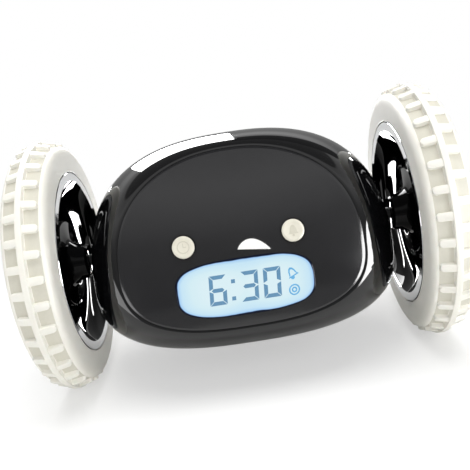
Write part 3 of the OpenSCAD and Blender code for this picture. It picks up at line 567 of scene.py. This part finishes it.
def mark_plate(by):
    """The mark's plate, with its outline drawn out or in by some millimetres."""
    bm = bmesh.new()
    outline = []
    for k in range(MARK_STEPS + 1):
        share = k / MARK_STEPS
        outline.append(((MARK_SIZE[0] + 2 * by) * (share - 0.5),
                        (MARK_SIZE[1] + 2 * by) * math.sin(math.pi * share ** MARK_ROUND) ** MARK_ROUND - by
                        if 0 < k < MARK_STEPS else -by))
    plate(bm, outline, MARK_Y, MARK_Y + MARK_DEPTH)
    bm.transform(Matrix.Translation(MARK_AT) @ Matrix.Rotation(MARK_TURN, 4, "Y"))
    return solid(bm)


carve(panel, mark_plate(0.02))
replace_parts(settle(panel, "face_crown", IN_BODY, "chassis", "panel_grey", satin_grey), "face_panel")
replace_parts(settle(mark_plate(0), "face_painted_highlight", IN_BODY, "chassis", "mark_white", white_painted_highlight), "face_mark")

# ------------------------------------------------------------------ display
# The lit display: a clear acrylic window, tinted blue by its backlight, with the liquid crystal's
# dark segments under its surface. The light is deeper blue towards the frame, and the thin dark
# navy rim where the window meets its frame is painted shade of the gap, partly the window's own
# tinted edge.
LENS_LIFT = 0.25
LENS_RINGS = 24
LENS_FLANGE = 1.1
LIGHT_DRIFT = 0.1
lit_window, tree = empty_material("acrylic_clear_backlit")
# The share attribute runs from 0 in the middle of the window to 1 at its frame, by the distance
# from the frame.
share = add_node(tree, "ShaderNodeAttribute", {"attribute_name": "share"})
cloud = add_node(tree, "ShaderNodeTexNoise", {"Scale": 1 / (7 * MM), "Detail": 2.0},
                 {"Vector": add_node(tree, "ShaderNodeTexCoord").outputs["Object"]})
drift = add_node(tree, "ShaderNodeMath", {"operation": "MULTIPLY_ADD", 1: LIGHT_DRIFT, 2: -LIGHT_DRIFT / 2},
                 {0: cloud.outputs["Fac"]})
reach = add_node(tree, "ShaderNodeMath", {"operation": "ADD"}, {0: share.outputs["Fac"], 1: drift.outputs[0]})
shade = add_node(tree, "ShaderNodeValToRGB", links={"Fac": reach.outputs[0]})
# The last two stops, dark navy, are painted shade of the gap round the window, partly its tinted edge.
GLOW_TO_PAINTED_RIM = [(0.0, "#DFF4FA"), (0.45, "#D9F2F9"), (0.8, "#CBEAFA"), (0.9, "#B4DAF9"), (0.93, "#9CC6F3"),
          (0.945, "#22335F"), (0.96, "#0A0F22")]
ramp(shade, [(position, linear(colour)) for position, colour in GLOW_TO_PAINTED_RIM])
shader = add_node(tree, "ShaderNodeBsdfPrincipled",
                  {"Base Color": linear("#0A0E16"), "Roughness": 0.08, "IOR": 1.49,
                   "Specular IOR Level": 0.12, "Emission Strength": 0.95},
                  {"Emission Color": shade.outputs["Color"]})
add_node(tree, "ShaderNodeOutputMaterial", links={"Surface": shader.outputs[0]})

lens_egg = grow(WINDOW_EGG, -0.1)
lens = loft([crown_ring(lens_egg, (k + 1) / (LENS_RINGS + 1), LENS_LIFT) for k in range(LENS_RINGS)] +
            [crown_ring(lens_egg, size, LENS_LIFT) for size in (0.968, 0.976, 0.984)] +
            [crown_ring(grow(lens_egg, -0.16), 1, LENS_LIFT),
             crown_ring(grow(lens_egg, -0.04), 1, LENS_LIFT, 0.05),
             crown_ring(lens_egg, 1, LENS_LIFT, 0.18), egg_ring(lens_egg, POCKET_Y + 0.05),
             egg_ring(grow(WINDOW_EGG, LENS_FLANGE), POCKET_Y + 0.05),
             egg_ring(grow(WINDOW_EGG, LENS_FLANGE), RECESS_Y - 0.1)], OUTSIDE["sides"])
spread = lens.data.attributes.new("share", "FLOAT", "POINT")
for vert in lens.data.vertices:
    x, z = vert.co.x, vert.co.z - WINDOW_EGG[3]
    inward = egg_radius(lens_egg, math.atan2(z, x)) - math.hypot(x, z)
    spread.data[vert.index].value = 1 - inward / lens_egg[1]
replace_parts(settle(lens, "display_window", IN_BODY, "chassis", "display_blue", lit_window), "display_lens")

# Liquid crystal segments: slate blue bars with mitred ends, on a slant, in three figures.
SLANT = 0.085
STROKE = 1.2
FIGURES = [("6", -8.35), ("3", 1.3), ("0", 8.2)]
FIGURE_HALF = (2.05, 3.95)
FIGURE_Z = -15.15
SEGMENT_GAP = 0.12
SEGMENT_DEPTHS = (-0.04, 0.03)
DOT_X = -3.65
DOT_HALF = 0.6
# Each bar runs between two points of a figure, given as shares of its half width and height.
BARS = {"a": ((-1, 1), (1, 1)), "b": ((1, 1), (1, 0)), "c": ((1, 0), (1, -1)), "d": ((-1, -1), (1, -1)),
        "e": ((-1, 0), (-1, -1)), "f": ((-1, 1), (-1, 0)), "g": ((-1, 0), (1, 0))}
LIT = {"6": "acdefg", "3": "abcdg", "0": "abcdef"}
dark_segment = finish("liquid_crystal_dark", "#2C5273", "#3B6587", (0.1, 0.16), 0.8, 0, IOR=1.49,
                      Emission_Color=linear("#789FB9"), Emission_Strength=0.5)


def lay_on_lens(bm, verts, x0, z0):
    """Slants flat figures, sets them round a place and lays them on the window's surface."""
    for vert in verts:
        x, z = x0 + vert.co.x + SLANT * vert.co.z, z0 + vert.co.z
        vert.co = (x, crown_y(x, z, LENS_LIFT) + vert.co.y, z)


def bar_outline(start, end):
    """A bar's outline: mitred, with its long side outward, or pointed where it lies in the middle."""
    points = [Vector((x * FIGURE_HALF[0], z * FIGURE_HALF[1])) for x, z in (start, end)]
    along = (points[1] - points[0]).normalized()
    half = STROKE / 2
    if start[1] == end[1] == 0:
        across, tip, side = Vector((0, half)), along * SEGMENT_GAP, along * (SEGMENT_GAP + half)
        return [points[0] + tip, points[0] + side + across, points[1] - side + across, points[1] - tip,
                points[1] - side - across, points[0] + side - across]
    outward = Vector((0, start[1])) if start[1] == end[1] else Vector((start[0], 0))
    sides = []
    for side in (1, -1):
        # A bar's end is drawn out to the corner outside and held back by as much inside.
        held = [SEGMENT_GAP + half * (-side if z else (1 - side) / 2) for _, z in (start, end)]
        sides.append([points[0] + outward * side * half + along * held[0],
                      points[1] + outward * side * half - along * held[1]])
    return sides[0] + sides[1][::-1]


bm = bmesh.new()
for figure, x0 in FIGURES:
    for key in LIT[figure]:
        lay_on_lens(bm, plate(bm, bar_outline(*BARS[key]), *SEGMENT_DEPTHS), x0, FIGURE_Z)
for z in (2.1, -3.1):
    dot = block(bm, (-DOT_HALF, SEGMENT_DEPTHS[0], z - DOT_HALF),
                (DOT_HALF, SEGMENT_DEPTHS[1], z + DOT_HALF))
    lay_on_lens(bm, dot, DOT_X, FIGURE_Z)
bmesh.ops.recalc_face_normals(bm, faces=bm.faces)
settle(solid(bm), "display_figures", IN_BODY, "chassis", "lcd", dark_segment)

# The two plain icons beside the figures: a bell over a ring, in thinner and paler strokes.
pale_segment = finish("liquid_crystal_pale", "#4A84AC", "#5C95BA", (0.1, 0.16), 0.8, 0, IOR=1.49,
                      Emission_Color=linear("#5D97BE"), Emission_Strength=0.55)


def hoop(bm, outer, inner, front, back):
    """A flat ring: two circles bridged by faces, then thickened."""
    flat = [vert for radius in (outer, inner)
            for vert in bmesh.ops.create_circle(bm, radius=radius, segments=40)["verts"]]
    edges = [edge for edge in bm.edges if edge.verts[0] in flat]
    ringed = bmesh.ops.bridge_loops(bm, edges=edges)["faces"]
    for vert in flat:
        vert.co = (vert.co.x, front, vert.co.y)
    drawn = bmesh.ops.extrude_face_region(bm, geom=ringed)["geom"]
    rear_verts = [part for part in drawn if isinstance(part, bmesh.types.BMVert)]
    for vert in rear_verts:
        vert.co.y = back
    return flat + rear_verts


BELL = [(-1.35, -0.9), (1.35, -0.9), (1.0, -0.45), (0.8, 0.6), (0.45, 1.25), (0, 1.5), (-0.45, 1.25),
        (-0.8, 0.6), (-1.0, -0.45)]


def bell_plate(scale, front, back, drop=0):
    """The bell's outline at a scale, as a plate between two depths."""
    bm = bmesh.new()
    plate(bm, [(x * scale, z * scale - drop) for x, z in BELL], front, back)
    return solid(bm)


# The bell is a hollow outline with its clapper, tipped to the left.
BELL_PLACE = (14.55, -13.3)
BELL_TIP = math.radians(-25)
bell = bell_plate(1.25, *SEGMENT_DEPTHS)
carve(bell, bell_plate(0.8, -1, 1, 0.02))
bm = bmesh.new()
bm.from_mesh(bell.data)
bpy.data.objects.remove(bell)
rod(bm, (-0.5, SEGMENT_DEPTHS[0], -1.3), (-0.5, SEGMENT_DEPTHS[1], -1.3), 0.6, sides=20)
bmesh.ops.rotate(bm, cent=(0, 0, 0), matrix=Matrix.Rotation(BELL_TIP, 3, "Y"), verts=bm.verts)
lay_on_lens(bm, bm.verts, *BELL_PLACE)

# The ring is two hoops, one in the other.
RING_PLACE = (14.2 + SLANT * 3.2, -18.4)
for outer, inner in ((1.7, 1.25), (0.85, 0.4)):
    lay_on_lens(bm, hoop(bm, outer, inner, *SEGMENT_DEPTHS), *RING_PLACE)
settle(solid(bm), "display_icons", IN_BODY, "chassis", "lcd", pale_segment)

# ------------------------------------------------------------------ buttons
# Two round push buttons, cream ABS: a flat cap with a rounded edge, a flange that holds it behind
# the panel and a stem to its switch. A clock and a bell stand up faintly on their caps.
cream_abs = finish("abs_cream_satin", "#D8D4C4", "#E3DFD1", (0.34, 0.44), 1.2, 0.006)
# The icons' faces are etched a shade duller than the polished cap round them.
cream_etched = finish("abs_cream_etched", "#C6C2B1", "#CFCBBB", (0.5, 0.6), 0.6, 0.006)
BUTTON_PROFILE = [(0, -33.72), (2.3, -33.72), (2.62, -33.8), (3.05, -33.8), (3.3, -33.68), (3.43, -33.4),
                  (3.43, -30.5), (4.43, -30.5), (4.43, -29.9), (1.6, -29.9), (1.6, -26.8), (0, -26.8)]
ICON_DEPTHS = (-33.79, -33.6)
# Behind this depth the cream button is painted charcoal, as shade in its hole.
BUTTON_PAINTED_SHADE_Y = -33.0


def turned(profile, axis, steps, closed=False):
    """Spins [radius, depth] points round the X or the Y axis into a closed solid."""
    bm = bmesh.new()
    if axis == "X":
        verts = [bm.verts.new((along, 0, radius)) for radius, along in profile]
    else:
        verts = [bm.verts.new((0, along, radius)) for radius, along in profile]
    edges = [bm.edges.new(pair) for pair in zip(verts, verts[1:])]
    if closed:
        edges.append(bm.edges.new((verts[-1], verts[0])))
    bmesh.ops.spin(bm, geom=verts + edges, cent=(0, 0, 0), axis=(1, 0, 0) if axis == "X" else (0, 1, 0),
                   angle=2 * math.pi, steps=steps, use_merge=True)
    bmesh.ops.remove_doubles(bm, verts=bm.verts, dist=0.0005)
    bmesh.ops.recalc_face_normals(bm, faces=bm.faces)
    return bm


def clock_icon(bm):
    hoop(bm, 1.95, 1.6, *ICON_DEPTHS)
    block(bm, (-0.15, ICON_DEPTHS[0], -0.15), (0.15, ICON_DEPTHS[1], 1.2))
    block(bm, (-0.15, ICON_DEPTHS[0], -0.15), (0.95, ICON_DEPTHS[1], 0.15))


def bell_icon(bm):
    plate(bm, [(x * 1.15, z * 1.15) for x, z in BELL], *ICON_DEPTHS)
    rod(bm, (0, ICON_DEPTHS[0], -1.45), (0, ICON_DEPTHS[1], -1.45), 0.35, sides=16)


for side, name, icon in ((-1, "left", clock_icon), (1, "right", bell_icon)):
    bm = turned(BUTTON_PROFILE, "Y", 64)
    # The button's side, flange and stem take the panel's charcoal as painted shade, so that
    # its hole stays dark round the cap.
    for face in bm.faces:
        face.material_index = 1 if face.calc_center_median().y > BUTTON_PAINTED_SHADE_Y else 0
    capped = len(bm.faces)
    icon(bm)
    bm.faces.ensure_lookup_table()
    for face in bm.faces[capped:]:
        face.material_index = 2
    bm.transform(Matrix.Translation((side * BUTTON_X, 0, BUTTON_Z)))
    cap = settle(solid(bm), name + "_push_cap", IN_BODY, name + "_button", "cream_plastic", cream_abs,
                 satin_grey, cream_etched)
    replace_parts(cap, name + "_button")

# ------------------------------------------------------------------ tyres
# Soft tyres of cream silicone rubber, moulded in one: flat sidewalls, a rounded shoulder, a middle
# rib and two rows of round-ended lugs, half a pitch apart.
ON_AXLE = Matrix.Translation((0, 0, AXLE_HEIGHT * MM))
HUB_X = 55.3
TYRE_WIDTH = 14.4
LUGS = 34
LUG_HALF = 1.25
LUG_DEPTH = 1.9
LUG_HEIGHTS = {"foot": 40, "end": 42.05, "rib": 43.38}
LUG_ROUND = 1.0
LUG_EDGE = 0.22
LUG_PHASE = math.radians(80)
SUNK = (40.9, 41.55)
SIDEWALL_RADIUS = 37
SHOULDER = {"rise": 3.8, "depth": 1.9, "steps": 7}
CLOSE = 0.01
cream_rubber = finish("silicone_cream_moulded", "#EBE9DF", "#F2F0E8", (0.5, 0.62), 3, 0.02,
                      Subsurface_Weight=0.08, Subsurface_Radius=(0.003, 0.002, 0.0015))
# The sunk floor of the tread: the same rubber with a coarser, duller moulding grain, and a darker
# cream that is painted shade between the lugs.
cream_recess_shade = finish("silicone_cream_recess_shade", "#CCC9BB", "#D4D1C4", (0.62, 0.75), 0.8, 0.02)

# Half of the tread's outline, from the sidewall to the rib: [radius, depth from the sidewall].
quarter = [k / SHOULDER["steps"] * math.pi / 2 for k in range(SHOULDER["steps"] + 1)]
shoulder = [(SIDEWALL_RADIUS + SHOULDER["rise"] * math.sin(turn), SHOULDER["depth"] * (1 - math.cos(turn)))
            for turn in quarter]
half_tread = [(34.5, 0)] + shoulder + [(41.2, 4.2), (41.5, 6.05), (41.62, 6.2), (43.28, 6.2), (43.44, 6.26),
                                       (43.5, 6.42)]
TYRE_PROFILE = ([(31.85, HUB_X + 0.12), (31.97, HUB_X)] +
                [(radius, HUB_X + depth) for radius, depth in half_tread] +
                [(radius, HUB_X + TYRE_WIDTH - depth) for radius, depth in reversed(half_tread)] +
                [(31.1, 69.7), (30.2, 69.1), (30.2, 68.7), (30.5, 68.7), (30.5, 56.55), (31.85, 56.55)])


def lug(bm, outer):
    """One lug at the top of the wheel: a block that falls from the rib to its rounded end."""
    low, high = HUB_X + LUG_DEPTH, HUB_X + TYRE_WIDTH / 2
    verts = block(bm, (low, -LUG_HALF, LUG_HEIGHTS["foot"]), (high, LUG_HALF, LUG_HEIGHTS["rib"]))
    for vert in verts:
        if vert.co.x < low + CLOSE and vert.co.z > LUG_HEIGHTS["foot"] + CLOSE:
            vert.co.z = LUG_HEIGHTS["end"]
    upright = [edge for edge in bm.edges if all(vert.co.x < low + CLOSE for vert in edge.verts)
               and abs(edge.verts[0].co.y - edge.verts[1].co.y) < CLOSE]
    bmesh.ops.bevel(bm, geom=upright, affect="EDGES", offset=LUG_ROUND, segments=3, profile=0.5, material=-1)
    top = [edge for edge in bm.edges if all(vert.co.z > LUG_HEIGHTS["end"] - 0.15 for vert in edge.verts)
           and not all(vert.co.x > high - CLOSE for vert in edge.verts)]
    bmesh.ops.bevel(bm, geom=top, affect="EDGES", offset=LUG_EDGE, segments=2, profile=0.5, material=-1)
    if outer:
        bmesh.ops.scale(bm, vec=(-1, 1, 1), verts=bm.verts)
        bmesh.ops.translate(bm, vec=(2 * HUB_X + TYRE_WIDTH, 0, 0), verts=bm.verts)
    bmesh.ops.recalc_face_normals(bm, faces=bm.faces)


def tyre(mirrored):
    bm = turned(TYRE_PROFILE, "X", LUGS * 6, closed=True)
    # The sunk floor between the lugs takes the darker cream, a painted shade.
    for face in bm.faces:
        middle = face.calc_center_median()
        if SUNK[0] < math.hypot(middle.y, middle.z) < SUNK[1] and middle.x > HUB_X + 2:
            face.material_index = 1
    for outer in (False, True):
        shape = bmesh.new()
        lug(shape, outer)
        mesh = bpy.data.meshes.new("lug")
        shape.to_mesh(mesh)
        shape.free()
        for k in range(LUGS):
            turn = LUG_PHASE + (k + (0.5 if outer else 0)) * 2 * math.pi / LUGS
            mesh.transform(Matrix.Rotation(turn, 4, "X"))
            bm.from_mesh(mesh)
            mesh.transform(Matrix.Rotation(-turn, 4, "X"))
        bpy.data.meshes.remove(mesh)
    if mirrored:
        bmesh.ops.scale(bm, vec=(-1, 1, 1), verts=bm.verts)
        bmesh.ops.reverse_faces(bm, faces=bm.faces)
    return solid(bm)


for name in ("left", "right"):
    piece = settle(tyre(name == "left"), name + "_tread", ON_AXLE, name + "_wheel", "tyre_cream",
                   cream_rubber, cream_recess_shade)
    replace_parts(piece, name + "_tyre")

# ------------------------------------------------------------------ hubs
# The dished hubs, polished black ABS, with a flat plated ring round the dish; behind them, on the
# outside, a snap-in cap hides the screw that holds each hub on its axle.
RIM_RADIUS = 31.4
DISH_RADIUS = 28.6
DISH_DEPTH = 6
DISH_POWER = 6.3
DISH_STEPS = 22
DISH_FLOOR = 15.2
HUB_STEPS = 192
hub_black = finish("abs_black_mirror", "#020203", "#040405", (0.015, 0.03), 14, 0.002, IOR=1.53,
                   Specular_IOR_Level=0.09)
# Chrome plating on ABS: a bright mirror with hardly any haze.
plated = finish("chrome_plated_polished", "#C9CACC", "#D6D7D8", (0.03, 0.06), 10, 0.002, Metallic=1.0)

dish = []
for k in range(DISH_STEPS + 1):
    radius = DISH_RADIUS - (DISH_RADIUS - DISH_FLOOR) * (k / DISH_STEPS) ** 1.6
    dish.append((radius, HUB_X + DISH_DEPTH * (1 - (radius / DISH_RADIUS) ** DISH_POWER)))
HUB_PROFILE = ([(2.02, 53.4), (5.3, 53.4), (5.4, 53.5), (5.9, 54.1), (6.35, 56.4), (7.0, 58.3), (7.7, 59.3),
                (9.0, 59.9), (14.7, 60.25), (14.95, 60.4), (15.05, 61.2)] + dish[::-1] +
               [(RIM_RADIUS - 0.1, HUB_X), (RIM_RADIUS, HUB_X + 0.1), (RIM_RADIUS, 56.5), (30.4, 56.5),
                (30.4, 68.6), (28.4, 68.6), (28.4, 58.7), (24.4, 61.4), (18.4, 63.2), (15.3, 63.4),
                (14.8, 62.4), (9.6, 62.4), (8.0, 64), (1.35, 64), (1.35, 63.4), (2.02, 63.4)])
CAP_PROFILE = [(0, 66.5), (27.4, 66.5), (28.2, 67.1), (28.25, 67.3), (28.25, 68.7), (28.1, 69.1),
               (27.6, 69.35), (27.2, 69.4), (25.7, 69.4), (25.3, 69.25), (24.6, 68.6), (22, 68.3), (14, 67.9),
               (9.6, 67.85), (9.0, 68.1), (8.6, 68.8), (8.2, 69.1), (7.6, 69.25), (4, 69.42), (0, 69.48)]
for name in ("left", "right"):
    for profile, ending, node, finishes in ((HUB_PROFILE, "_dish", "_hub", (hub_black, plated)),
                                            (CAP_PROFILE, "_disc", "_hub_cap", (gloss_black,))):
        bm = turned(profile, "X", HUB_STEPS, closed=profile is HUB_PROFILE)
        for face in bm.faces:
            middle = face.calc_center_median()
            if middle.x < HUB_X + 0.2 and DISH_RADIUS - 0.1 < math.hypot(middle.y, middle.z) < RIM_RADIUS:
                face.material_index = 1
        if name == "left":
            bmesh.ops.scale(bm, vec=(-1, 1, 1), verts=bm.verts)
            bmesh.ops.reverse_faces(bm, faces=bm.faces)
        piece = settle(solid(bm), name + ending, ON_AXLE, name + "_wheel", "hub_black", *finishes, sharp=26)
        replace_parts(piece, name + node)

# ------------------------------------------------------------------ works
# What the shells hide, as the source draws it: gear trains in black housings with nylon gears and
# brass pinions, drawn steel motors, zinc-plated screws, the board, the cells and their tray.
WORKS = {
    finish("steel_zinc_plated", "#A9ACB0", "#C4C6C8", (0.25, 0.4), 0.8, 0.004, Metallic=1.0):
        ["board_screws", "door_screws", "case_screws", "gearbox_screws", "gear_pins", "left_motor_shaft",
         "right_motor_shaft", "hub_screw_left", "hub_screw_right", "battery_contacts"],
    # The axles are near-black steel, a painted shade for the dark gap between body and hubs.
    finish("steel_axle_painted_shade", "#0B0B0C", "#141416", (0.3, 0.42), 0.8, 0.004): ["left_axle", "right_axle"],
    finish("brass_turned", "#B8954A", "#CBAA62", (0.2, 0.32), 0.6, 0.003, (6, 1, 1), Metallic=1.0):
        ["axle_bushes", "left_motor_pinion", "right_motor_pinion"],
    finish("nylon_natural_moulded", "#E6E3D6", "#F0EEE6", (0.38, 0.5), 1.5, 0.005, Subsurface_Weight=0.1):
        ["left_first_gear", "right_first_gear", "left_second_gear", "right_second_gear", "left_output_gear",
         "right_output_gear", "motor_end_caps"],
    finish("steel_can_drawn", "#9FA2A6", "#B4B6B9", (0.3, 0.42), 0.5, 0.006, (1, 12, 12), Metallic=1.0):
        ["left_motor", "right_motor"],
    finish("abs_black_matt", "#1B1B1D", "#242426", (0.5, 0.62), 0.9, 0.01):
        ["tact_switches", "buzzer", "battery_tray", "left_gearbox", "right_gearbox", "left_gearbox_cover",
         "right_gearbox_cover"],
    finish("fibreglass_solder_mask", "#15573A", "#1E6E49", (0.28, 0.4), 0.7, 0.01, (1, 1, 4)): ["main_board"],
    finish("cell_sleeve_printed", "#B2B4B8", "#C6C8CB", (0.25, 0.35), 2, 0.003, (1, 6, 6), Metallic=0.6):
        ["battery_cells"],
    finish("liquid_crystal_glass", "#8FA79A", "#9FB6A8", (0.06, 0.1), 3, 0): ["lcd_glass"],
    finish("acrylic_light_guide", "#DDEBF2", "#E8F4FB", (0.1, 0.2), 2, 0): ["backlight"],
}
for material, names in WORKS.items():
    for name in names:
        for spot in nodes[name].material_slots:
            spot.material = material
